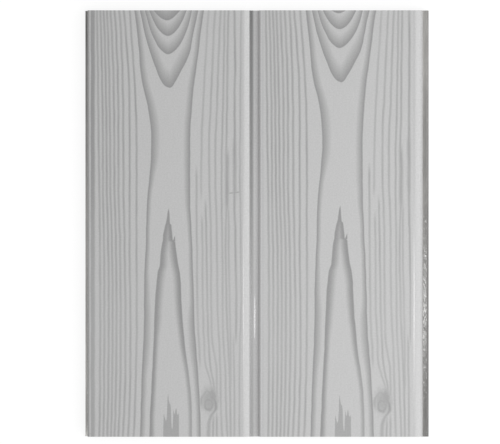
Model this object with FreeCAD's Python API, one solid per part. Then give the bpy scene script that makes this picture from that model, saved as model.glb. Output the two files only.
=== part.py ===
"""A cut length of hollow cladding board, extruded in one piece from rigid PVC.

The face carries two planks side by side. Each plank has a small round shoulder on its left and a
long roll-over on its right, and a flat recess lies between the two. Inside, thin webs join the face
to the back, so the cut ends show a row of cells. The left edge is the groove: the shoulder comes down
as a short hook over an open pocket, and a lip runs out below it. The right edge is the tongue. It is
level with the recess, hollow, and set up from the back so that the next board's lip tucks under it.

X runs across the board, Y along it and Z up through it. The board lies on its back, with the middle
of the underside at the origin. All sizes are in millimetres.
"""

import FreeCAD
import Part

import math
import os

# The board as a whole
board_length = 248.0
board_thickness = 10.0

# The planks and the recess between them
plank_count = 2
plank_width = 94.8
joint_width = 5.2
recess_depth = 2.9
shoulder_radius = 1.4
roll_radius = 7.0
roll_angle = 36.0
rim_radius = 0.5

# Walls of the extrusion
wall = 1.0
web_thickness = 0.7
web_spacing = 9.4
end_cell = 4.671
root_radius = 0.35
corner_radius = 0.4

# The tongue on the right edge
tongue_reach = 3.7
nose_radius = 1.3

# The groove on the left edge
hook_thickness = 1.1
lip_thickness = 1.4
lip_reach = 1.5
fit_clearance = 0.2

# Heights and places that follow from the sizes above
recess_level = board_thickness - recess_depth
tongue_underside = lip_thickness + fit_clearance
hook_level = recess_level + fit_clearance
pocket_depth = tongue_reach + 3 * fit_clearance
lip_room = lip_reach + fit_clearance
plank_pitch = plank_width + joint_width
face_width = plank_count * plank_pitch - joint_width
overall_width = lip_reach + face_width + tongue_reach

left_edge = -overall_width / 2
first_plank = left_edge + lip_reach
face_end = first_plank + face_width
tongue_end = face_end + tongue_reach
under_tongue = face_end - lip_room
pocket_end = first_plank + pocket_depth

# Each roll-over is an arc from the flat face to a short slope, with room under the slope for the wall
roll_turn = math.radians(roll_angle)
rim_turn = math.pi / 2 - roll_turn
inner_rim_radius = max(rim_radius - wall, root_radius)
rim_room = max(rim_radius, wall + inner_rim_radius)
slope_length = roll_radius * math.tan(roll_turn / 2) + rim_room * math.tan(rim_turn / 2)
slope_run = slope_length * math.cos(roll_turn)
slope_drop = slope_length * math.sin(roll_turn)


def plank_left(index):
    """X of the left side of a plank, counted from 0 at the groove."""
    return first_plank + index * plank_pitch


def plank_corners(index):
    """Corners over the top of one plank, as (x, z, radius), from its left side to its right side."""
    left = plank_left(index)
    right = left + plank_width
    return [
        (left, board_thickness, shoulder_radius),
        (right - slope_run, board_thickness, roll_radius),
        (right, board_thickness - slope_drop, rim_radius),
    ]


def joint_corners(index):
    """The two inside corners of the recess to the right of a plank."""
    left = plank_left(index) + plank_width
    return [
        (left, recess_level, corner_radius),
        (left + joint_width, recess_level, corner_radius),
    ]


def top_corners():
    """Corners over all the planks and the recesses between them."""
    corners = []
    for index in range(plank_count):
        corners += plank_corners(index)
        if index < plank_count - 1:
            corners += joint_corners(index)
    return corners


def tongue_corners():
    """Corners round the tongue, from the foot of the last plank to the underside of the board."""
    return [
        (face_end, recess_level, corner_radius),
        (tongue_end, recess_level, nose_radius),
        (tongue_end, tongue_underside, nose_radius),
        (under_tongue, tongue_underside, corner_radius),
        (under_tongue, 0, corner_radius),
    ]


def groove_corners():
    """Corners of the lip, the open pocket and the hook over it, from the underside upwards."""
    hook_inside = first_plank + hook_thickness
    hook_tip = min(corner_radius, 0.4 * hook_thickness)
    ceiling = board_thickness - wall
    return [
        (left_edge, 0, corner_radius),
        (left_edge, lip_thickness, corner_radius),
        (pocket_end, lip_thickness, corner_radius),
        (pocket_end, ceiling, corner_radius),
        (hook_inside, ceiling, corner_radius),
        (hook_inside, hook_level, hook_tip),
        (first_plank, hook_level, hook_tip),
    ]


def direction(start, end):
    """Unit vector from one corner to the next."""
    run = end[0] - start[0]
    rise = end[1] - start[1]
    length = math.hypot(run, rise)
    return run / length, rise / length


def turn_between(before, after):
    """Angle turned at a corner, positive to the left."""
    cross = before[0] * after[1] - before[1] * after[0]
    dot = before[0] * after[0] + before[1] * after[1]
    return math.atan2(cross, dot)


def inset(corners, depth):
    """The same clockwise outline moved inwards by depth, with radii that suit the inside of a wall."""
    moved = []
    for index, corner in enumerate(corners):
        before = direction(corners[index - 1], corner)
        after = direction(corner, corners[(index + 1) % len(corners)])
        turn = turn_between(before, after)
        back = depth * math.tan(-turn / 2)
        x = corner[0] + depth * before[1] - back * before[0]
        z = corner[1] - depth * before[0] - back * before[1]
        radius = max(corner[2] - depth, root_radius) if turn < 0 else corner[2]
        moved.append((x, z, radius))
    return moved


def rounded_face(corners):
    """A flat face in the XZ plane whose outline runs straight between corners rounded to their radii."""
    starts = []
    ends = []
    middles = []
    for index, corner in enumerate(corners):
        before = direction(corners[index - 1], corner)
        after = direction(corner, corners[(index + 1) % len(corners)])
        turn = abs(turn_between(before, after))
        cut = corner[2] * math.tan(turn / 2)
        starts.append((corner[0] - cut * before[0], corner[1] - cut * before[1]))
        ends.append((corner[0] + cut * after[0], corner[1] + cut * after[1]))
        sag = corner[2] * (1 / math.cos(turn / 2) - 1)
        inward = direction((0, 0), (after[0] - before[0], after[1] - before[1]))
        middles.append((corner[0] + sag * inward[0], corner[1] + sag * inward[1]))

    def point(place):
        return FreeCAD.Vector(place[0], 0, place[1])

    edges = []
    for index in range(len(corners)):
        arc = Part.Arc(point(starts[index]), point(middles[index]), point(ends[index]))
        edges.append(arc.toShape())
        following = starts[(index + 1) % len(corners)]
        if math.dist(ends[index], following) > 1e-6:
            edges.append(Part.LineSegment(point(ends[index]), point(following)).toShape())
    return Part.Face(Part.Wire(edges))


def extruded(face):
    """A flat section run along the full length of the board."""
    solid = face.extrude(FreeCAD.Vector(0, board_length, 0))
    solid.translate(FreeCAD.Vector(0, -board_length / 2, 0))
    return solid


def web_places():
    """X of the middle of every web, evenly spaced under each plank and one under each recess."""
    first = pocket_depth + wall / 2
    span = plank_width - end_cell - first
    count = max(1, round(span / web_spacing))
    places = []
    for index in range(plank_count):
        # On the first plank the back wall of the pocket stands in the place of the first web
        start = 1 if index == 0 else 0
        for step in range(start, count + 1):
            places.append(plank_left(index) + first + step * span / count)
        if index < plank_count - 1:
            places.append(plank_left(index) + plank_width + joint_width / 2)
    return places


def hollow_face():
    """The space inside the walls, from the back of the pocket to the nose of the tongue."""
    start = [
        (pocket_end, 0, corner_radius),
        (pocket_end, board_thickness, corner_radius),
    ]
    return rounded_face(inset(start + top_corners()[1:] + tongue_corners(), wall))


def web_faces():
    """One upright strip of material for every web, as tall as the board."""
    strips = []
    for x in web_places():
        near = x - web_thickness / 2
        far = x + web_thickness / 2
        ring = [(near, 0), (near, board_thickness), (far, board_thickness), (far, 0), (near, 0)]
        corners = [FreeCAD.Vector(place[0], 0, place[1]) for place in ring]
        strips.append(Part.Face(Part.makePolygon(corners)))
    return strips


def is_root(solid, edge):
    """True for an edge along the board where two walls of a cell meet at a sharp angle."""
    across = edge.Vertexes[-1].Point - edge.Vertexes[0].Point
    if abs(across.y) < board_length / 2:
        return False
    normals = []
    for face in solid.ancestorsOfType(edge, Part.Face):
        u, v = face.Surface.parameter(edge.Vertexes[0].Point)
        normals.append(face.normalAt(u, v))
    return normals[0].getAngle(normals[1]) > math.radians(roll_angle)


def cells():
    """The hollow cells between the webs, each with small fillets where a web meets a wall."""
    solids = []
    for face in hollow_face().cut(web_faces()).Faces:
        solid = extruded(face)
        roots = [edge for edge in solid.Edges if is_root(solid, edge)]
        solids.append(solid.makeFillet(root_radius, roots))
    return solids


def cladding_board():
    """The whole extrusion: the outline of the section less its cells."""
    outline = rounded_face(groove_corners() + top_corners() + tongue_corners())
    return extruded(outline).cut(cells())


board = cladding_board()
print("solids:", len(board.Solids), "valid:", board.isValid())
print("cells:", len(web_places()) + 1)
print("volume, mm3:", round(board.Volume))
print("section, mm2:", round(board.Volume / board_length, 1))
print("size, mm:", board.BoundBox.XLength, board.BoundBox.YLength, board.BoundBox.ZLength)
os.makedirs("parts", exist_ok=True)
board.Solids[0].exportStep("parts/cladding_board.step")
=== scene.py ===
# %% [markdown]
# # A cladding board with a printed grain
#
# The real object is a short cut length of hollow PVC cladding board. It was pushed through a die in
# one go, and a thin film with a printed pine grain was laid over its face. This lesson takes the
# solid as it is and spends its effort on the finish: the print, the plain plastic of the edges and
# the cut ends, and a light that shows the satin gloss.
#
# The board could be modelled again here, but that would be a second shape beside the one that was
# built. So the first cell loads the solid and keeps the corners of its box, from which its sizes are
# read.

# %% Load the board
import math

import bpy
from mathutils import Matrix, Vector


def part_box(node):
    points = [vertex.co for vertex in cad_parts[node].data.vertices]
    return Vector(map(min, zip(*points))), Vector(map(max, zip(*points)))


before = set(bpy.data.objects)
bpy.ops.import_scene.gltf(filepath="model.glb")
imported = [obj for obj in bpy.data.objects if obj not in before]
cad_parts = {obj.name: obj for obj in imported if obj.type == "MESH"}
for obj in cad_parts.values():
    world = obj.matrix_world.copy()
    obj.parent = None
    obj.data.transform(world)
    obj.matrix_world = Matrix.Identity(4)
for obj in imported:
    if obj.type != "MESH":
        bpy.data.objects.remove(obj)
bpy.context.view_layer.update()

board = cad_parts["cladding_board"]
low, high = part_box("cladding_board")
MM = 0.001
board_width = (high.x - low.x) / MM
board_length = (high.y - low.y) / MM
face_height = high.z / MM
print("board, mm:", round(board_width, 2), round(board_length, 2), round(face_height, 2))

# %% [markdown]
# ## The camera
#
# The board lies flat and is seen straight from above, a little left of its middle. A camera without
# perspective could show it so, but every real camera has some, so a long lens from far away was
# chosen, which all but hides the sides. The picture's width covers 290.7 mm at the height of the
# face, and the lens follows from that and the distance, so moving the camera keeps the framing.

# %% Place the camera
picture_width = 290.7
camera_distance = 3000.0
camera_across = -4.0
camera_along = 0.9
sensor_width = 36.0

camera_data = bpy.data.cameras.new("camera")
camera_data.sensor_width = sensor_width
camera_data.lens = sensor_width * camera_distance / picture_width
camera = bpy.data.objects.new("camera", camera_data)
camera.location = (camera_across * MM, camera_along * MM, (face_height + camera_distance) * MM)
bpy.context.scene.collection.objects.link(camera)
bpy.context.scene.camera = camera
bpy.context.scene.view_settings.view_transform = "Standard"
print("lens, mm:", round(camera_data.lens, 1))

# %% [markdown]
# ## Small tools for drawing with nodes
#
# The print could be a picture on the board, or thousands of painted faces. Here it is drawn by
# nodes, because a node pattern stays sharp at any distance and needs no file. A grain line is only a
# path: for every place along the board it says how far across the line runs. A Float Curve node
# holds such a path from a few points, and its bends are smooth like a spline's.
#
# The first two helpers add a node to the material and link it. With them, every later cell reads
# like a sum instead of a tangle of wires.

# %% Add and link nodes
finish = bpy.data.materials.new("printed_pvc")
finish.use_nodes = True
tree = finish.node_tree
tree.nodes.clear()


def add_node(kind, **settings):
    """A new node of this kind with these settings."""
    made = tree.nodes.new(kind)
    for name, value in settings.items():
        setattr(made, name, value)
    return made


def feed(socket, source):
    """Gives a socket a number or a vector, or links another node's output to it."""
    if isinstance(source, bpy.types.NodeSocket):
        tree.links.new(source, socket)
    else:
        socket.default_value = source


print("material:", finish.name)

# %% [markdown]
# ### Sums and edges
#
# Where ink starts or stops on the real film, its edge is sharp or soft. A Color Ramp could draw such
# an edge, but its stops can't be fed by other nodes. A Map Range node can take them from anywhere, so
# it does the edges here, and a Math node does the plain sums.

# %% Sums and edges
def maths(operation, first, second=0.0, third=0.0):
    """One Math node."""
    made = add_node("ShaderNodeMath", operation=operation)
    for socket, source in zip(made.inputs, (first, second, third)):
        feed(socket, source)
    return made.outputs[0]


def step_up(value, start, end):
    """0 below start, 1 above end and a smooth rise between them."""
    made = add_node("ShaderNodeMapRange", interpolation_type="SMOOTHSTEP")
    for socket, source in zip(made.inputs, (value, start, end, 0.0, 1.0)):
        feed(socket, source)
    return made.outputs[0]


def step_down(value, start, end):
    """1 below start, 0 above end and a smooth fall between them."""
    return maths("SUBTRACT", 1.0, step_up(value, start, end))


def rescale(value, start, end, first, last):
    """Moves a value from one range to another in a straight line, and stops at its ends."""
    made = add_node("ShaderNodeMapRange")
    for socket, source in zip(made.inputs, (value, start, end, first, last)):
        feed(socket, source)
    return made.outputs[0]


print("helpers for edges:", step_up.__name__, step_down.__name__, rescale.__name__)

# %% [markdown]
# ### Putting values together
#
# Ink laid over ink of the same colour hardly gets darker. Adding strokes up would show every
# crossing as a black spot, so the largest of them is taken. A product lets one value limit another,
# and a blend goes from one to the other.

# %% Put values together
def product(*factors):
    """All the factors multiplied together."""
    total = factors[0]
    for factor in factors[1:]:
        total = maths("MULTIPLY", total, factor)
    return total


def largest(values):
    """The largest of several values, so that dark strokes can cross without adding up."""
    total = values[0]
    for value in values[1:]:
        total = maths("MAXIMUM", total, value)
    return total


def blend(share, first, second):
    """The first value where share is 0, the second where it is 1."""
    made = add_node("ShaderNodeMix", data_type="FLOAT")
    feed(made.inputs[0], share)
    feed(made.inputs[2], first)
    feed(made.inputs[3], second)
    return made.outputs[0]


print("helpers that join values:", product.__name__, largest.__name__, blend.__name__)

# %% [markdown]
# ### Unevenness
#
# Nothing that is printed or pressed comes out quite even. A picture of fibres or dirt could show
# that, but it would need a file and would repeat. A noise texture doesn't. It is looked up at three
# coordinates, each times its own rate, so that it can be stretched along the board by as much as the
# real fibres, waves or saw marks are.

# %% Uneven values
def noise_at(place, rates, detail):
    """A noise looked up at three coordinates, each multiplied by its own rate."""
    joined = add_node("ShaderNodeCombineXYZ")
    for socket, source in zip(joined.inputs, place):
        feed(socket, source)
    scaled = add_node("ShaderNodeVectorMath", operation="MULTIPLY")
    feed(scaled.inputs[0], joined.outputs[0])
    feed(scaled.inputs[1], rates)
    made = add_node("ShaderNodeTexNoise")
    feed(made.inputs["Vector"], scaled.outputs[0])
    made.inputs["Scale"].default_value = 1.0
    made.inputs["Detail"].default_value = detail
    return made.outputs[0]


print("helper for unevenness:", noise_at.__name__)

# %% [markdown]
# ## Where a point lies on the print
#
# Object coordinates give every point in metres. The pattern was read off a flat view of the first
# plank, in pixels counted across and down, so the nodes first turn metres into those pixels. Both
# planks carry the same print: a step sends the second plank back to the first one's place. The film
# was stretched a little there, by four parts in a hundred across and two along.

# %% Print coordinates
plank_pitch = 100.0
plank_width = 94.8
lip_reach = 1.5
first_plank = -board_width / 2 + lip_reach
before_second = 0.3

pixels_per_mm = 1.72
print_left = 87.4
second_print_left = 91.0
second_across = 1.042
print_middle = 223.0
second_along = 1.0225
spread_row = 333.0

coordinates = add_node("ShaderNodeTexCoord")
position = add_node("ShaderNodeSeparateXYZ")
feed(position.inputs[0], coordinates.outputs["Object"])
across_mm = maths("MULTIPLY", position.outputs["X"], 1 / MM)
along_mm = maths("MULTIPLY", position.outputs["Y"], 1 / MM)
height_mm = maths("MULTIPLY", position.outputs["Z"], 1 / MM)

from_first = maths("SUBTRACT", across_mm, first_plank)
on_second = maths("GREATER_THAN", from_first, plank_pitch - before_second)
on_plank = maths("MULTIPLY_ADD", on_second, -plank_pitch, from_first)
across_scale = blend(on_second, pixels_per_mm, pixels_per_mm / second_across)
across_start = blend(on_second, print_left, second_print_left)
across_px = maths("MULTIPLY_ADD", on_plank, across_scale, across_start)
first_row = maths("MULTIPLY_ADD", along_mm, -pixels_per_mm, print_middle)
along_scale = blend(on_second, 1.0, 1 / second_along)
down = maths("MULTIPLY_ADD", maths("SUBTRACT", first_row, spread_row), along_scale, spread_row)
print("first plank starts at, mm:", round(first_plank, 2))

# %% [markdown]
# The printed lines are never ruler-straight. Every path could have many more points, but one slow
# noise does it for all of them: it moves the place that is looked up by a fraction of a pixel. It
# changes slowly in both directions, so that neighbouring lines sway together instead of shaking.

# %% Let the lines sway
sway_px = 1.2
sway_rates = (0.06, 0.05, 1.0)
sway = noise_at((across_px, down, on_second), sway_rates, detail=2.0)
across = maths("MULTIPLY_ADD", maths("SUBTRACT", sway, 0.5), sway_px, across_px)
print("sway, pixels:", sway_px)

# %% [markdown]
# ## Paths
#
# Every line of the grain wanders a little across the plank. It could be a curve object that is
# turned into a mesh, but ink has no thickness. A Float Curve node keeps it as a pure value: it works
# between 0 and 1, so the helper scales its points to that range and scales the answer back.

# %% Paths
first_print_row = 0.0
last_print_row = 447.0


def path_at(place, points, start=first_print_row, end=last_print_row, bend="AUTO"):
    """Looks up a path: the points are (value, place), and the value is given back."""
    values = [value for value, _ in points]
    lowest = min(values) - 1.0
    span = max(values) + 1.0 - lowest
    made = add_node("ShaderNodeFloatCurve")
    curve = made.mapping.curves[0]
    scaled = [((spot - start) / (end - start), (value - lowest) / span) for value, spot in points]
    while len(curve.points) < len(scaled):
        curve.points.new(0.5, 0.5)
    for point, (spot, value) in zip(curve.points, sorted(scaled)):
        point.location = (spot, value)
        point.handle_type = bend
    made.mapping.extend = "HORIZONTAL"
    made.mapping.update()
    feed(made.inputs["Value"], rescale(place, start, end, 0.0, 1.0))
    return maths("MULTIPLY_ADD", made.outputs[0], span, lowest)


print("the print runs over rows:", first_print_row, "to", last_print_row)

# %% [markdown]
# ## Strokes
#
# A stroke compares the place of a point with a path. Pine has two kinds: a line that is soft on both
# sides, and the edge of a growth ring, which is crisp on the outer side, where the summer's growth
# stopped, and fades slowly on the inner side. Both are short helpers, since they are used all over.

# %% Strokes
crisp_start = -0.5
crisp_end = 0.6
before_start = 6.0
after_start = 10.0
before_end = 12.0
after_end = 4.0


def soft_line(points, width, start=None, end=None):
    """A line that fades on both sides. It can start and end part of the way down."""
    offset = maths("ABSOLUTE", maths("SUBTRACT", across, path_at(down, points)))
    line = step_down(offset, 0.0, width)
    if start is not None:
        line = product(line, step_up(down, start - before_start, start + after_start))
    if end is not None:
        line = product(line, step_down(down, end - before_end, end + after_end))
    return line


def ring_edge(depth, fade):
    """Dark just inside the edge, where depth is small, and fading evenly over the given distance."""
    return product(step_up(depth, crisp_start, crisp_end), rescale(depth, crisp_end, fade, 1.0, 0.0))


print("a crisp edge is as wide as, pixels:", crisp_end - crisp_start)

# %% [markdown]
# ## The heart of the plank
#
# Where a saw cuts near the middle of a trunk, the rings show as two lines that close in like a waist
# and open again. Each is a ring edge whose soft side faces the middle of the plank. One width from
# end to end would look like a pen line, so how far it fades has a path of its own.

# %% Heart lines
heart_left = [
    (132.4, 0), (134.2, 10), (136.9, 30), (138.8, 50), (140.5, 70), (141.8, 80), (143.7, 90),
    (146.3, 100), (148.4, 110), (149.8, 120), (151.1, 138), (151.1, 150), (150.0, 168), (149.0, 180),
    (147.9, 190), (147.0, 200), (146.3, 215), (146.0, 235), (144.8, 262), (143.9, 290), (143.7, 325),
    (142.4, 358), (141.4, 380), (140.9, 400), (140.2, 420), (139.9, 440),
]
heart_left_fade = [
    (5.0, 0), (6.0, 50), (8.0, 90), (9.5, 125), (8.5, 160), (5.0, 192), (4.6, 240), (6.5, 290),
    (8.0, 335), (6.0, 380), (5.6, 440),
]
heart_right = [
    (206.4, 0), (204.2, 10), (201.1, 30), (198.6, 50), (196.1, 70), (193.5, 90), (191.7, 110),
    (190.5, 130), (190.1, 160), (190.4, 205), (191.4, 228), (192.6, 258), (193.8, 290), (194.5, 320),
    (196.4, 350), (198.2, 375), (199.7, 400), (200.6, 425), (200.9, 440),
]
heart_right_fade = [
    (5.0, 0), (5.5, 50), (7.0, 100), (7.2, 150), (6.2, 200), (4.6, 235), (5.4, 300), (8.0, 335),
    (7.0, 360), (5.4, 390), (5.2, 440),
]

left_depth = maths("SUBTRACT", across, path_at(down, heart_left))
right_depth = maths("SUBTRACT", path_at(down, heart_right), across)
heart_strokes = [
    ring_edge(left_depth, path_at(down, heart_left_fade)),
    ring_edge(right_depth, path_at(down, heart_right_fade)),
]
print("points in the heart lines:", len(heart_left) + len(heart_right))

# %% [markdown]
# ## The arches
#
# At the far end of the board the rings close into pointed arches, one inside another. An arch is
# easier to describe the other way round: for every place across, how far down it reaches. The depth
# inside it is measured straight down first, and then shortened a little where the arch is steep, so
# that its dark rim is wide at the tip and narrow along the sides.

# %% Arches
arches = [
    [
        (-12, 135.4), (10, 139.9), (30, 144.1), (40, 146.4), (50, 149.4), (60, 152.7), (70, 156.6),
        (80, 161.0), (85, 164.6), (87, 168.2), (87.2, 170.2), (80, 175.8), (70, 181.4), (60, 186.6),
        (50, 190.1), (40, 192.0), (30, 193.9), (20, 196.1), (10, 198.3), (-10, 202.6),
    ],
    [
        (-15, 137.2), (10, 144.6), (20, 147.5), (30, 150.5), (40, 154.8), (47, 158.6), (51, 162.5),
        (53.6, 166.5), (53.6, 169.0), (51.5, 173.0), (47, 177.5), (40, 182.3), (30, 186.7),
        (20, 189.6), (10, 191.8), (-10, 195.8),
    ],
    [
        (-15, 141.0), (0, 145.5), (10, 149.0), (20, 153.2), (26, 156.5), (31, 160.4), (34.6, 165.0),
        (35.4, 168.0), (34.0, 172.0), (30, 176.4), (20, 182.5), (10, 186.5), (-5, 191.5),
    ],
    [
        (-12, 142.5), (5, 149.5), (10, 153.4), (15, 157.8), (18.6, 162.8), (19.8, 167.0),
        (18.4, 171.4), (15, 175.5), (10, 180.0), (0, 187.0),
    ],
]
arch_fades = [19.0, 13.5, 13.5, 18.0]
arch_start = 134.0
arch_end = 206.0
slope_reach = 1.5
steep_share = 0.14


def arch_stroke(points, fade):
    """The dark rim inside one arch."""
    here = path_at(across, points, arch_start, arch_end)
    left = path_at(maths("SUBTRACT", across, slope_reach), points, arch_start, arch_end)
    right = path_at(maths("ADD", across, slope_reach), points, arch_start, arch_end)
    rise = maths("ABSOLUTE", maths("SUBTRACT", right, left))
    steepness = maths("DIVIDE", rise, 2 * slope_reach)
    straight_down = maths("SUBTRACT", here, down)
    depth = maths("DIVIDE", straight_down, maths("MULTIPLY_ADD", steepness, steep_share, 1.0))
    return ring_edge(depth, fade)


arch_strokes = [arch_stroke(points, fade) for points, fade in zip(arches, arch_fades)]
print("arches:", len(arch_strokes))

# %% [markdown]
# ## The spear
#
# Further down, a new ring rises as a long spear with a torn tip. A torn tip is made of straight,
# sharp pieces, so its paths use the Vector handle, which keeps a corner at every point. Inside, both
# legs fade towards the middle, and the right one grows fainter near the end.

# %% Spear
spear_left = [
    (168.4, 208), (167.5, 212), (166.9, 217), (166.0, 222), (164.9, 225.5), (163.9, 230),
    (163.0, 234.5), (162.9, 240), (161.6, 246), (160.7, 253), (160.2, 260), (159.6, 266),
    (157.6, 271.5), (156.7, 280), (155.8, 290), (155.1, 300), (154.4, 312), (154.1, 328),
    (153.4, 344), (152.1, 370), (150.9, 394), (149.8, 418), (149.1, 440),
]
spear_right = [
    (168.9, 208), (169.4, 214), (169.8, 223.2), (171.2, 224.2), (171.9, 232.5), (172.7, 240.4),
    (175.2, 241.0), (175.6, 247), (176.8, 256), (177.9, 264), (179.7, 272), (180.8, 283),
    (181.2, 298), (182.4, 318), (184.4, 340), (186.8, 360), (189.4, 377), (191.0, 392), (191.7, 412),
    (191.9, 440),
]
spear_left_fade = [(7.5, 207), (9.5, 250), (9.8, 300), (6.8, 340), (6.2, 380), (7.0, 440)]
spear_right_fade = [(7.5, 207), (9.5, 250), (8.6, 300), (7.2, 340), (5.6, 380), (4.8, 440)]
spear_right_strength = [(1.0, 207), (1.0, 340), (0.82, 375), (0.75, 440)]
spear_rows = (205.0, 440.0)
spear_edge = (-0.5, 0.5)
spear_top = (206.0, 211.0)
leg_start = 1.0

into_left = maths("SUBTRACT", across, path_at(down, spear_left, *spear_rows, bend="VECTOR"))
into_right = maths("SUBTRACT", path_at(down, spear_right, *spear_rows, bend="VECTOR"), across)
inside_spear = product(
    step_up(into_left, *spear_edge),
    step_up(into_right, *spear_edge),
    step_up(down, *spear_top),
)
left_leg = step_down(into_left, leg_start, path_at(down, spear_left_fade))
right_leg = product(
    step_down(into_right, leg_start, path_at(down, spear_right_fade)),
    path_at(down, spear_right_strength),
)
spear_stroke = product(inside_spear, largest([left_leg, right_leg]))
print("points in the spear:", len(spear_left) + len(spear_right))

# %% [markdown]
# Beside the spear a second, much smaller tip is torn off. It could be one more pair of paths, but it
# is a plain triangle: two straight ramps start at its point and move apart.

# %% Side tip
side_tip = 175.0
side_tip_start = 234.5
side_tip_end = 240.8
side_tip_left = 172.6
side_tip_right = 175.2
side_tip_edge = (-0.4, 0.4)
side_tip_rise = 2.0

tip_left = rescale(down, side_tip_start, side_tip_end, side_tip, side_tip_left)
tip_right = rescale(down, side_tip_start, side_tip_end, side_tip, side_tip_right)
side_stroke = product(
    step_up(maths("SUBTRACT", across, tip_left), *side_tip_edge),
    step_down(maths("SUBTRACT", across, tip_right), *side_tip_edge),
    step_up(down, side_tip_start, side_tip_start + side_tip_rise),
    maths("LESS_THAN", down, side_tip_end),
)
print("the side tip is as long as, pixels:", round(side_tip_end - side_tip_start, 1))

# %% [markdown]
# ## The flame
#
# At the near end the next ring starts as a small flame with several torn tips. Like an arch, it is
# described by how far up it reaches at every place across. It could have a dark rim of its own, as
# the arches do, but it is so narrow that the rims would meet, so it is filled evenly.

# %% Flame
flame = [
    (440, 162.9), (425, 163.2), (414.5, 163.6), (412.6, 164.0), (416, 164.5), (419.3, 165.4),
    (419.8, 166.3), (417, 166.7), (410, 167.0), (400, 167.3), (392.5, 168.0), (399, 168.7),
    (402.5, 169.4), (403, 170.2), (406, 170.5), (410, 170.9), (418, 171.2), (427.5, 171.7),
    (428, 172.5), (419, 173.0), (410, 173.3), (408.3, 173.6), (412.8, 174.2), (413, 174.9),
    (408, 175.5), (407, 176.0), (409, 176.5), (413.5, 177.2), (413.8, 178.2), (411.3, 179.1),
    (425, 179.5), (440, 179.9),
]
flame_start = 161.0
flame_end = 181.0
flame_edge = (-0.8, 1.4)
flame_left_edge = (162.7, 163.7)
flame_right_edge = (178.4, 179.4)

flame_depth = maths("SUBTRACT", down, path_at(across, flame, flame_start, flame_end, bend="VECTOR"))
flame_stroke = product(
    step_up(flame_depth, *flame_edge),
    step_up(across, *flame_left_edge),
    step_down(across, *flame_right_edge),
)
print("points in the flame:", len(flame))

# %% [markdown]
# ## The straight grain at the sides
#
# Towards both sides of the plank the rings run almost straight and close together. A wave texture
# could draw such stripes, but no two of these are alike. So each line has its own path of a few
# points and its own width and strength. On the right some lines start or end part of the way down,
# and three of them bend to the right where they come to the knot.

# %% Side lines
left_lines = [
    ([(96.6, 0), (97.7, 60), (98.6, 140), (99.9, 250), (100.1, 345), (99.4, 440)], 1.9, 0.95),
    ([(99.6, 0), (101.4, 50), (102.6, 120), (103.1, 200), (104.1, 255), (104.2, 345), (103.4, 440)],
     1.9, 0.95),
    ([(103.0, 0), (105.0, 50), (106.1, 110), (107.0, 200), (108.5, 260), (108.5, 345), (107.3, 440)],
     2.0, 1.0),
    ([(106.0, 0), (108.5, 50), (109.8, 120), (110.6, 200), (112.1, 250), (112.4, 345), (110.8, 440)],
     1.9, 0.95),
    ([(109.4, 0), (112.5, 50), (114.0, 110), (114.4, 190), (116.0, 250), (116.3, 345), (114.3, 440)],
     2.0, 0.95),
    ([(113.2, 0), (116.8, 50), (118.3, 110), (118.5, 190), (120.0, 250), (120.6, 345), (118.0, 440)],
     2.0, 0.95),
    ([(117.6, 0), (121.6, 50), (123.1, 110), (123.5, 190), (124.6, 250), (125.4, 345), (122.6, 440)],
     2.0, 0.95),
    ([(122.6, 0), (126.8, 50), (129.4, 105), (129.6, 190), (129.6, 250), (130.4, 345), (128.0, 440)],
     1.9, 1.0),
    ([(128.8, 0), (132.4, 50), (135.4, 100), (136.4, 145), (136.4, 230), (136.6, 320), (135.6, 380),
      (133.6, 440)], 1.9, 0.95),
]
right_lines = [
    ([(209.5, 0), (206.0, 50), (203.2, 100), (201.4, 150), (201.0, 200)], 1.9, 0.6, None, 200),
    ([(196.4, 160), (196.7, 230), (197.4, 305), (199.4, 350), (200.2, 375)], 1.9, 0.8, 168, 368),
    ([(201.3, 200), (202.4, 250), (202.6, 300), (204.0, 340), (204.6, 356), (207.6, 372),
      (209.8, 379), (212.2, 387)], 1.8, 0.75, 215, 392),
    ([(205.2, 190), (206.2, 235), (207.4, 310), (208.6, 345), (209.8, 362), (211.5, 373),
      (213.5, 382), (214.6, 392)], 1.8, 0.9, 200, 398),
    ([(215.6, 0), (213.0, 50), (210.8, 100), (209.0, 160), (210.6, 225), (211.6, 330), (214.4, 355),
      (216.5, 372), (217.0, 400)], 1.9, 0.75, None, 402),
    ([(221.0, 0), (218.8, 50), (216.8, 110), (215.2, 160), (216.6, 225), (217.4, 300), (219.6, 350),
      (220.6, 385), (221.0, 410), (223.0, 440)], 1.9, 0.75),
    ([(224.6, 0), (224.0, 50), (222.7, 115), (221.6, 170), (222.2, 250), (222.8, 320), (225.2, 372),
      (226.0, 405), (227.6, 440)], 1.8, 0.8),
    ([(228.6, 0), (227.6, 50), (226.9, 110), (226.3, 160), (226.8, 200), (225.6, 235), (226.4, 300),
      (228.4, 350), (229.8, 385), (230.6, 440)], 1.9, 0.85),
    ([(229.0, 195), (228.6, 235), (229.6, 300), (230.4, 350), (230.6, 390)], 1.8, 0.75, 205, 392),
    ([(232.6, 0), (235.0, 50), (234.7, 100), (234.4, 190), (235.5, 250), (236.2, 320), (235.6, 345)],
     2.1, 1.0, None, 345),
    ([(233.4, 320), (233.8, 360), (234.4, 405), (234.0, 440)], 1.8, 0.8, 335),
    ([(241.4, 0), (240.9, 40), (240.5, 100), (239.9, 170), (240.4, 215), (241.2, 300), (239.8, 350),
      (239.4, 440)], 1.8, 0.7),
]
knot_feet = [
    ([(214.0, 405), (213.2, 425), (213.0, 440)], 1.8, 0.95, 414),
    ([(215.6, 405), (216.8, 425), (216.8, 440)], 1.8, 0.9, 412),
]


def drawn(lines):
    """The strokes of a list of lines, each as (points, width, strength) and where it starts and ends."""
    strokes = []
    for points, width, strength, *reach in lines:
        strokes.append(product(soft_line(points, width, *reach), strength))
    return strokes


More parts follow.
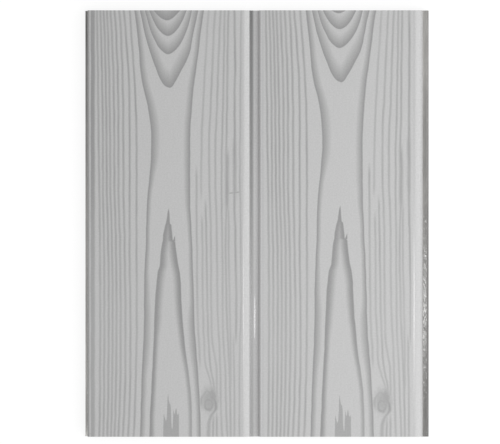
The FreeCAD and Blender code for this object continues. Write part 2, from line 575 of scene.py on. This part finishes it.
side_strokes = drawn(left_lines) + drawn(right_lines) + drawn(knot_feet)
print("side lines:", len(side_strokes))

# %% [markdown]
# The outermost ring on the left is a broad shaded band beside the shoulder. A soft line would be too
# round for it, so it has an edge of its own on each side. The second plank shows only a trace of it,
# since its print starts further in. Two of the lines on the right widen for a short way above the
# middle of the board. Each gets a second, wider stroke there, because a path holds no width.

# %% Broad bands
band_left = (90.2, 91.2)
band_right = (93.6, 96.0)
band_points = [(0.9, 0), (0.9, 190), (0.75, 230), (0.7, 440)]
second_band_share = 0.35

band = product(step_up(across, *band_left), step_down(across, *band_right))
band_stroke = product(band, path_at(down, band_points), blend(on_second, 1.0, second_band_share))
wide_lines = [
    ([(226.9, 135), (226.8, 215)], 3.4, 0.7, 148, 214),
    ([(234.6, 130), (234.6, 200)], 3.2, 0.7, 138, 200),
]
wide_strokes = drawn(wide_lines)
print("wide lines:", len(wide_strokes))

# %% [markdown]
# ## The knot
#
# A small dead branch left a knot low on the right. The wood in it and around it is a little darker,
# and the print shows that as blurred patches. A knot could be a round picture of its own. Here the
# patches are soft ellipses, because an ellipse needs only a middle and two radii, and a noise roughens
# them, so that they don't look stamped.

# %% Knot patches
knot_rates = (0.3, 0.22, 1.0)
knot_roughness = 0.6
disc_ellipse = (209.9, 399.0, 9.6, 14.5)
disc_fade = (0.3, 1.3)
disc_darkness = 0.58
shade_ellipse = (212.6, 396.0, 5.6, 12.0)
shade_fade = (0.2, 1.3)
shade_darkness = 0.7
inner_ellipse = (208.6, 404.0, 3.6, 5.0)
inner_fade = (0.1, 0.7)
inner_darkness = 0.68

knot_noise = noise_at((across, down, 0.0), knot_rates, detail=3.0)


def ellipse_radius(middle_across, middle_down, half_width, half_height):
    """0 in the middle of an ellipse and 1 on its rim, with a little unevenness."""
    x = maths("DIVIDE", maths("SUBTRACT", across, middle_across), half_width)
    y = maths("DIVIDE", maths("SUBTRACT", down, middle_down), half_height)
    radius = maths("SQRT", maths("ADD", product(x, x), product(y, y)))
    return maths("MULTIPLY_ADD", maths("SUBTRACT", knot_noise, 0.5), knot_roughness, radius)


knot_disc = product(step_down(ellipse_radius(*disc_ellipse), *disc_fade), disc_darkness)
knot_shade = product(step_down(ellipse_radius(*shade_ellipse), *shade_fade), shade_darkness)
from_rim = maths("ABSOLUTE", maths("SUBTRACT", ellipse_radius(*inner_ellipse), 1.0))
inner_ring = product(step_down(from_rim, *inner_fade), inner_darkness)
knot_patches = [knot_disc, knot_shade, inner_ring]
print("knot patches:", len(knot_patches))

# %% [markdown]
# The grain bends round the knot. One ring rises to a point, runs down the right side and turns into
# one of the lines below, and its left half dies away in the dark wood. The ring could be an ellipse
# too, but its pointed top and its tail are easier to draw as two paths, like the other lines.

# %% Knot rings
knot_top = (388.0, 391.0)
knot_right = [
    (207.2, 389), (210.2, 393.7), (213.1, 397), (215.4, 402), (215.8, 407), (214.3, 410.5),
    (211.8, 414), (209.7, 419.5), (208.7, 426), (208.7, 440),
]
knot_left = [(207.2, 389), (204.3, 393.7), (202.2, 397), (201.5, 401), (202.0, 406), (203.5, 410)]
knot_right_strength = [(0.62, 389), (0.74, 398), (0.84, 406), (0.62, 413), (0.58, 440)]
knot_ring_width = 3.2
knot_left_strength = 0.56
knot_left_end = (402.0, 410.0)

below_top = step_up(down, *knot_top)
right_ring = product(soft_line(knot_right, knot_ring_width), below_top, path_at(down, knot_right_strength))
left_fade = step_down(down, *knot_left_end)
left_ring = product(soft_line(knot_left, knot_ring_width), below_top, left_fade, knot_left_strength)
knot_stroke = largest([*knot_patches, right_ring, left_ring])
print("points in the knot rings:", len(knot_right) + len(knot_left))

# %% [markdown]
# ## A scuff
#
# One short scuff crosses the straight grain on the right of the first plank, a little above the
# middle. It could be scratched into the mesh, but no depth can be seen in it, so it is one more
# stroke, whose path runs across. It is damage to the film and not part of the print, so it is left
# off the second plank.

# %% Scuff
scuff_start = 228.5
scuff_end = 240.0
scuff_points = [(193.0, 226), (191.4, 241)]
scuff_columns = (220.0, 246.0)
scuff_edge = (0.1, 1.1)
scuff_fade = 1.0

scuff_path = path_at(across, scuff_points, *scuff_columns)
scuff_offset = maths("ABSOLUTE", maths("SUBTRACT", down, scuff_path))
scuff_stroke = product(
    step_down(scuff_offset, *scuff_edge),
    step_up(across, scuff_start - scuff_fade, scuff_start + scuff_fade),
    step_down(across, scuff_end - scuff_fade, scuff_end + scuff_fade),
    maths("SUBTRACT", 1.0, on_second),
)
print("scuff length, pixels:", scuff_end - scuff_start)

# %% [markdown]
# ## All strokes together
#
# Strokes that meet take the darker of the two, as printed ink does. Every line could have its
# darkness as a path, but one path for all the side lines is enough: they are darkest a quarter of
# the way down and faintest at three quarters. A noise stretched along the board then lets each of
# them fade and recover, because the wood they were copied from did so too.

# %% Add up the print
main_strokes = [*heart_strokes, *arch_strokes, spear_stroke, side_stroke]
main_darkness = 0.97
flame_darkness = 0.66
band_darkness = 0.92
scuff_darkness = 0.68
darkness_points = [(0.66, 0), (0.76, 100), (0.68, 240), (0.56, 330), (0.66, 400), (0.66, 440)]
ink_rates = (0.35, 0.03, 1.0)
ink_shares = (0.8, 1.12)
noise_spread = (0.3, 0.7)

side_darkness = path_at(down, darkness_points)
ink_noise = noise_at((across_px, down, on_second), ink_rates, detail=3.0)
ink_share = rescale(ink_noise, *noise_spread, *ink_shares)

ink = largest(
    [
        product(largest(main_strokes), main_darkness),
        product(flame_stroke, flame_darkness),
        product(largest(side_strokes), side_darkness, ink_share),
        product(largest(wide_strokes), ink_share),
        product(band_stroke, band_darkness),
        product(scuff_stroke, scuff_darkness),
        knot_stroke,
    ]
)
print("nodes so far:", len(tree.nodes))

# %% [markdown]
# ## Film and plain plastic
#
# The film covers what a roller can press it on: the flat of each plank, its two shoulders and the
# recess between them. The tongue, the lip, the back, the cells and the cut ends are plain plastic.
# Two materials on two sets of faces could show that, but the solid is one mesh without face groups.
# So one material holds both finishes, and a mask chooses. Height tells the face from the rest, and
# the direction of the surface tells the outer skin from the inside of a cell. The steep sides of the
# shoulders hardly face up, so they are found by where they are.

# %% Masks
recess_level = 7.1
below_recess = 0.1
past_face = 0.1
least_rise = 0.05
least_end = 0.5
direction = add_node("ShaderNodeNewGeometry")
facing = add_node("ShaderNodeSeparateXYZ")
feed(facing.inputs[0], direction.outputs["Normal"])
faces_up = maths("GREATER_THAN", facing.outputs["Z"], least_rise)
faces_end = maths("GREATER_THAN", maths("ABSOLUTE", facing.outputs["Y"]), least_end)

side_reach = 0.2
near_left_side = maths("LESS_THAN", maths("ABSOLUTE", on_plank), side_reach)
past_plank = maths("SUBTRACT", on_plank, plank_width)
near_right_side = maths("LESS_THAN", maths("ABSOLUTE", past_plank), side_reach)
outer_side = largest([faces_up, near_left_side, near_right_side])
above_recess = maths("GREATER_THAN", height_mm, recess_level - below_recess)
last_face = first_plank + plank_pitch + plank_width
before_tongue = maths("LESS_THAN", across_mm, last_face + past_face)

film = product(
    outer_side,
    above_recess,
    before_tongue,
    maths("SUBTRACT", 1.0, faces_end),
)
print("the face of the last plank ends at, mm:", round(last_face, 2))

# %% [markdown]
# ## A true direction for the round parts
#
# The solid's shoulders are made of a few flat facets, and its face meets them with a small jump in
# shading. Smooth shading could hide the facets, but it would also bend the flat face. The radius of
# each shoulder is known, so the direction of its surface is computed here from where a point lies:
# it leans by one part in the radius for every part across.

# %% Direction of the shoulders
shoulder_radius = 1.4
roll_radius = 7.0
roll_angle = 36.0
roll_width = 4.671
shoulder_lean = -0.97
shoulder_depth = 1.45
rim_room = 0.25
least_top_rise = 0.02
steepest = math.sin(math.radians(roll_angle))

lean_left = rescale(on_plank, 0.0, shoulder_radius, shoulder_lean, 0.0)
into_roll = maths("SUBTRACT", on_plank, plank_width - roll_width)
lean_right = rescale(into_roll, 0.0, roll_radius * steepest, 0.0, steepest)
plank_lean = maths("ADD", lean_left, lean_right)
on_top = product(
    maths("GREATER_THAN", on_plank, 0.0),
    maths("LESS_THAN", on_plank, plank_width - rim_room),
    maths("GREATER_THAN", height_mm, face_height - shoulder_depth),
    maths("GREATER_THAN", facing.outputs["Z"], least_top_rise),
    maths("LESS_THAN", across_mm, last_face),
)
print("steepest lean of the roll-over:", round(steepest, 3))

# %% [markdown]
# ### The floor of the recess
#
# The floor of the recess isn't quite flat either: a faint crease in the film runs along it for a
# short way and mirrors the light as a thin broken line. The crease could be cut into the solid, but it
# would be a few hundredths of a millimetre deep. Here the direction leans to the right by a few
# degrees along a narrow band, and a noise along the board breaks the band up.

# %% Direction of the recess
corner_room = 0.4
recess_width = 5.2
crease_middle = 2.4
crease_core = 0.1
crease_edge = 0.7
crease_lean = 0.077
crease_points = [(0.0, 293), (0.8, 302), (1.0, 318), (1.0, 333), (0.0, 339)]
crease_rates = (1.0, 0.9, 1.0)
crease_spread = (0.35, 0.65)
crease_shares = (0.6, 1.4)
level_room = 0.05

crease_reach = path_at(down, crease_points)
crease_offset = maths("ABSOLUTE", maths("SUBTRACT", past_plank, crease_middle))
crease_noise = noise_at((0.0, along_mm, 0.0), crease_rates, detail=2.0)
crease_break = rescale(crease_noise, *crease_spread, *crease_shares)
crease = step_down(crease_offset, crease_core, crease_edge)
recess_lean = product(crease, crease_reach, crease_break, crease_lean)
in_joint = product(
    maths("GREATER_THAN", past_plank, corner_room),
    maths("LESS_THAN", past_plank, recess_width - corner_room),
    maths("LESS_THAN", height_mm, recess_level + level_room),
    maths("GREATER_THAN", height_mm, recess_level - level_room),
    maths("LESS_THAN", across_mm, last_face),
    faces_up,
)
lean = blend(in_joint, plank_lean, recess_lean)
round_direction = add_node("ShaderNodeCombineXYZ")
feed(round_direction.inputs[0], lean)
feed(round_direction.inputs[2], maths("SQRT", maths("SUBTRACT", 1.0, product(lean, lean))))
true_direction = add_node("ShaderNodeMix", data_type="VECTOR")
feed(true_direction.inputs[0], largest([on_top, in_joint]))
feed(true_direction.inputs[4], direction.outputs["Normal"])
feed(true_direction.inputs[5], round_direction.outputs[0])
print("lean of the crease, degrees:", round(math.degrees(crease_lean), 1))

# %% [markdown]
# ## Paper and ink
#
# The film is a light grey, and its ink is about half as bright. The print stops where the right
# shoulder starts to roll over, and the recess has no figure either. A mix of two colours by the
# amount of ink is all that is needed. Both are pure greys, so one number stands for each.

# %% Paper and ink
paper_grey = 0.50
ink_grey = 0.27
print_end = 241.4
second_print_end = 236.4
print_edge = (-0.6, 0.8)
print_depth = 0.6

past_print = maths("SUBTRACT", across_px, blend(on_second, print_end, second_print_end))
not_on_roll = step_down(past_print, *print_edge)
on_flat = maths("GREATER_THAN", height_mm, face_height - print_depth)
printed = product(ink, not_on_roll, on_flat)
bare_film = maths("MULTIPLY_ADD", printed, ink_grey - paper_grey, paper_grey)
print("greys of film and ink:", paper_grey, ink_grey)

# %% [markdown]
# ## Painted shade and sheen along the joint
#
# The film along the joint is given painted light and shade. At the foot of the roll-over a painted
# shade darkens the film of the first plank, most of all at the far end. The floor of the recess gets
# a painted sheen, brightest near the middle of the length, and the small left shoulder gets painted
# shade on the first plank and painted light on the second. The print could be repainted for each of
# them, but these are changes of tone and not of figure. So each is a factor on the film's grey, with
# a path where it changes along the board.

# %% Painted shade and sheen along the joint
foot_start = -0.7
foot_rise = 0.2
foot_fade = 0.6
foot_end = 2.4
# painted shade at the foot of the roll-over: its strength along the board, darkest at the far end
painted_foot_shade_points = [(0.64, 0), (0.53, 100), (0.38, 215), (0.23, 290), (0.2, 320), (0.27, 400), (0.28, 440)]
# painted sheen on the floor of the recess, brightest near the middle of the length
painted_recess_sheen_points = [(1.0, 0), (1.04, 100), (1.12, 215), (1.03, 315), (1.02, 440)]
shoulder_edge = (0.6, 2.2)
# painted shade on the first plank's left shoulder and painted light on the second's
painted_shoulder_shade_and_light = (0.86, 1.32)

# where the painted shade at the foot of the first plank's roll-over lies
foot_shade_share = product(
    step_up(past_plank, foot_start, foot_start + foot_rise),
    step_down(past_plank, foot_fade, foot_end),
    maths("SUBTRACT", 1.0, on_second),
)
in_recess = step_up(past_plank, foot_fade, foot_end)
near_shoulder = step_down(on_plank, *shoulder_edge)
# the film's grey with painted shade at the foot, painted sheen in the recess and painted light and shade
# on the left shoulders
film_value = product(
    bare_film,
    maths("SUBTRACT", 1.0, product(foot_shade_share, path_at(down, painted_foot_shade_points))),
    blend(in_recess, 1.0, path_at(down, painted_recess_sheen_points)),
    blend(near_shoulder, 1.0, blend(on_second, *painted_shoulder_shade_and_light)),
)
print("the foot is dark over, mm:", foot_end - foot_start)

# %% [markdown]
# ## Fibres and speckle
#
# Close up, no print is one even grey. The roller left fine fibres along the board, and the ink sits
# in small specks. Two noises do both: one is stretched along the board and one is round. They change
# the grey by only a few parts in a hundred, because more would look like dirt.

# %% Fibres and speckle
fibre_share = 0.02
fibre_rates = (1.6, 0.09, 0.4)
speckle_share = 0.065
speckle_rates = (1.2, 1.2, 0.4)
film_spread = (0.25, 0.75)

place_mm = (across_mm, along_mm, height_mm)
fibre = noise_at(place_mm, fibre_rates, detail=4.0)
speckle = noise_at(place_mm, speckle_rates, detail=2.0)
film_tone = product(
    film_value,
    rescale(fibre, *film_spread, 1 - fibre_share, 1 + fibre_share),
    rescale(speckle, *film_spread, 1 - speckle_share, 1 + speckle_share),
)
print("share of fibres and speckle:", fibre_share, speckle_share)

# %% [markdown]
# ## Plain plastic
#
# The bare plastic is a darker grey with a slightly warm tint. Light and shade are painted into it on
# the tongue and the lip: the tongue is lightest at the far end and beside the face, and darkest at its
# nose, and the thin lip on the other side, which lies in the board's shade, gets painted light towards
# the near end. Two curves and a straight ramp give those tones, since each changes in one direction
# only. A soft cloud keeps the plastic from looking even, and the masks choose between it and the film.

# %% Plain plastic
plain_grey = 0.25
# tongue grey with painted light and shade: lightest at the far end and darkest towards the near end
tongue_grey_and_painted_shading_points = [(0.31, 0), (0.32, 60), (0.27, 100), (0.22, 215), (0.175, 315), (0.18, 440)]
# the lip's grey with painted light, rising towards the near end although the lip lies in the board's shade
lip_grey_and_painted_light_points = [(0.27, 0), (0.5, 100), (0.75, 215), (0.9, 330), (0.9, 440)]
# painted shade at the tongue's nose and painted light beside the face
painted_nose_shade = 0.68
painted_root_light = 1.2
cloud_share = 0.15
cloud_rates = (0.5, 0.06, 0.5)
past_lip = 0.05
warm_tint = (1.02, 1.0, 0.965)

on_lip = maths("LESS_THAN", across_mm, first_plank + past_lip)
tongue_painted_shading = rescale(across_mm, last_face, board_width / 2, painted_root_light, painted_nose_shade)
on_tongue = maths("GREATER_THAN", across_mm, last_face)
# tongue grey with painted light and shade along and across it
tongue_grey = product(path_at(down, tongue_grey_and_painted_shading_points), tongue_painted_shading)
body_grey = blend(on_tongue, plain_grey, tongue_grey)
# lip grey with painted light
lip_grey = path_at(down, lip_grey_and_painted_light_points)
cloud = noise_at(place_mm, cloud_rates, detail=5.0)
clouded = rescale(cloud, *noise_spread, 1 - cloud_share, 1 + cloud_share)
plain_tone = product(clouded, blend(on_lip, body_grey, lip_grey))

colour = add_node("ShaderNodeCombineColor")
for socket, tint in zip(colour.inputs, warm_tint):
    feed(socket, blend(film, product(plain_tone, tint), film_tone))
print("tint of the plain plastic:", warm_tint)

# %% [markdown]
# ## Gloss
#
# The flat of a plank has the dull gloss of its grain texture. Where the film is stretched over the
# roll-over and pressed into the recess it is smoother, and plain plastic is smoother still, while
# the saw left the cut ends dull. One roughness for all would make the board look like card, so each
# finish has its own, and the masks and the height choose.

# %% Gloss
flat_roughness = 0.42
stretched_roughness = 0.2
recess_roughness = 0.18
plain_roughness = 0.14
end_roughness = 0.6
groove_start = 2.7
roll_edge = (-0.8, -0.5)
drop_edge = (0.02, 0.1)
plastic_ior = 1.5

below_flat = maths("SUBTRACT", face_height, height_mm)
stretched = largest([step_up(into_roll, *roll_edge), step_up(below_flat, *drop_edge)])
in_groove = maths("GREATER_THAN", below_flat, groove_start)
pressed_roughness = blend(in_groove, stretched_roughness, recess_roughness)
film_roughness = blend(stretched, flat_roughness, pressed_roughness)
side_roughness = blend(film, plain_roughness, film_roughness)
shader = add_node("ShaderNodeBsdfPrincipled")
feed(shader.inputs["Base Color"], colour.outputs[0])
feed(shader.inputs["Roughness"], blend(faces_end, side_roughness, end_roughness))
shader.inputs["IOR"].default_value = plastic_ior
print("roughness of the flat and of the roll-over:", flat_roughness, stretched_roughness)

# %% [markdown]
# ## Relief
#
# Plastic comes out of a die slightly wavy, and on the tongue those waves break the light into small
# glints. The saw left fine upright marks on the cut ends. Displacing the mesh would need thousands of
# faces for waves a tenth of a millimetre high, so a Bump node tilts the shading instead. It starts
# from the true direction that was computed above.

# %% Relief
film_wave = 0.01
plain_wave = 0.1
wave_rates = (0.8, 0.34, 0.5)
saw_depth = 0.05
saw_rates = (2.2, 0.25, 0.1)

wave = noise_at(place_mm, wave_rates, detail=2.0)
saw_marks = noise_at((across_mm, height_mm, along_mm), saw_rates, detail=3.0)
wave_depth = blend(film, plain_wave, product(stretched, film_wave))
bump = add_node("ShaderNodeBump")
bump.inputs["Strength"].default_value = 1.0
bump.inputs["Distance"].default_value = MM
feed(bump.inputs["Height"], blend(faces_end, product(wave, wave_depth), product(saw_marks, saw_depth)))
feed(bump.inputs["Normal"], true_direction.outputs[1])
feed(shader.inputs["Normal"], bump.outputs[0])
print("heights of waves and saw marks, mm:", plain_wave, saw_depth)

# %% [markdown]
# ## The finish goes on the board
#
# The real board is one plastic all through, with a film on one side. Its faces could be sorted into
# several material slots, but that would change the mesh. So the mesh stays as it was loaded and gets
# one slot, whose material does the film, the plain plastic and the cut ends.

# %% Put the finish on
output = add_node("ShaderNodeOutputMaterial")
feed(output.inputs["Surface"], shader.outputs[0])
board.data.materials.clear()
board.data.materials.append(finish)
print("nodes in the finish:", len(tree.nodes))

# %% [markdown]
# ## The floor
#
# The floor is a wide round disc whose rim rises gently, like the sweep of a photographer's backdrop,
# so that a camera near the ground never looks past its edge. A plane would do for the view from
# above, but its edge shows from the side. The disc is inset once, and the inner face is pushed down
# to floor level. It lies a hair below the board, so that the two flat faces never compete.

# %% Shape of the floor
floor_radius = 10.0
rim_width = 2.0
rim_height = 0.4
floor_gap = 0.05
floor_sides = 64

bpy.ops.object.select_all(action="DESELECT")
start_height = rim_height - floor_gap * MM
bpy.ops.mesh.primitive_circle_add(
    vertices=floor_sides, radius=floor_radius, fill_type="NGON", location=(0, 0, start_height)
)
floor = bpy.context.active_object
floor.name = "floor"
bpy.ops.object.mode_set(mode="EDIT")
bpy.ops.mesh.select_mode(type="FACE")
bpy.ops.mesh.select_all(action="SELECT")
bpy.ops.mesh.inset(thickness=rim_width, depth=-rim_height)
bpy.ops.object.mode_set(mode="OBJECT")
bpy.ops.object.transform_apply(location=True, rotation=False, scale=False)
floor_heights = [vertex.co.z / MM for vertex in floor.data.vertices]
print("floor from, mm:", round(min(floor_heights), 3), "to", round(max(floor_heights), 3))

# %% [markdown]
# The floor is white. About a fifth of its brightness comes from the lamps, so that the board still
# drops a soft shadow on it, and the rest is added for the camera and for reflections. Brighter lamps
# could make it white too, but they would wash out the board.

# %% Colour of the floor
floor_finish = bpy.data.materials.new("white_floor")
floor_finish.use_nodes = True
tree = floor_finish.node_tree
tree.nodes.clear()
floor_grey = 0.2
floor_glow = 0.85
diffuse = add_node("ShaderNodeBsdfDiffuse")
diffuse.inputs["Color"].default_value = (floor_grey, floor_grey, floor_grey, 1)
glow = add_node("ShaderNodeEmission")
ray = add_node("ShaderNodeLightPath")
seen = largest([ray.outputs[kind] for kind in ("Is Camera Ray", "Is Glossy Ray", "Is Transmission Ray")])
feed(glow.inputs["Strength"], product(seen, floor_glow))
both = add_node("ShaderNodeAddShader")
feed(both.inputs[0], diffuse.outputs[0])
feed(both.inputs[1], glow.outputs[0])
output = add_node("ShaderNodeOutputMaterial")
feed(output.inputs["Surface"], both.outputs[0])
floor.data.materials.append(floor_finish)
print("grey and glow of the floor:", floor_grey, floor_glow)

# %% [markdown]
# ## The sky
#
# A board lying on a studio floor gets most of its light from all around. A picture of a studio could
# give that, but it would need a file. An even white sky is enough, at about half strength, so that
# the film doesn't wash out once the lamps are added.

# %% Sky
sky_strength = 0.54
world = bpy.data.worlds.new("sky")
bpy.context.scene.world = world
world.use_nodes = True
background = world.node_tree.nodes["Background"]
background.inputs["Color"].default_value = (1, 1, 1, 1)
background.inputs["Strength"].default_value = sky_strength
print("sky strength:", sky_strength)

# %% [markdown]
# ## The lamps
#
# One very large soft lamp stands to the right. Its reflection fills the whole roll-over of each
# plank, which is why that strip looks lighter than the flat beside it. A tiny weak lamp nearly
# overhead draws the thin bright streaks where the roll-over starts, the short line in the recess and
# the glints on the tongue. One lamp can't do both: a large one gives no thin streak, and a small one
# can't fill a strip.

# %% Lamps
def soft_lamp(name, place, aim, size, power):
    """A rectangular lamp that points from its place to its aim, both in millimetres."""
    data = bpy.data.lights.new(name, "AREA")
    data.shape = "RECTANGLE"
    data.size = size[0] * MM
    data.size_y = size[1] * MM
    data.energy = power
    lamp = bpy.data.objects.new(name, data)
    bpy.context.scene.collection.objects.link(lamp)
    lamp.location = [value * MM for value in place]
    lamp.rotation_mode = "QUATERNION"
    lamp.rotation_quaternion = (Vector(aim) - Vector(place)).to_track_quat("-Z", "Y")


soft_lamp("large_lamp", place=(608, -200, 685), aim=(168, -150, 10), size=(1178, 900), power=7.0)
soft_lamp("glint_lamp", place=(115.6, -60, 761), aim=(60, -50, 0), size=(30, 56), power=0.28)
print("lamps:", len(bpy.data.lights))
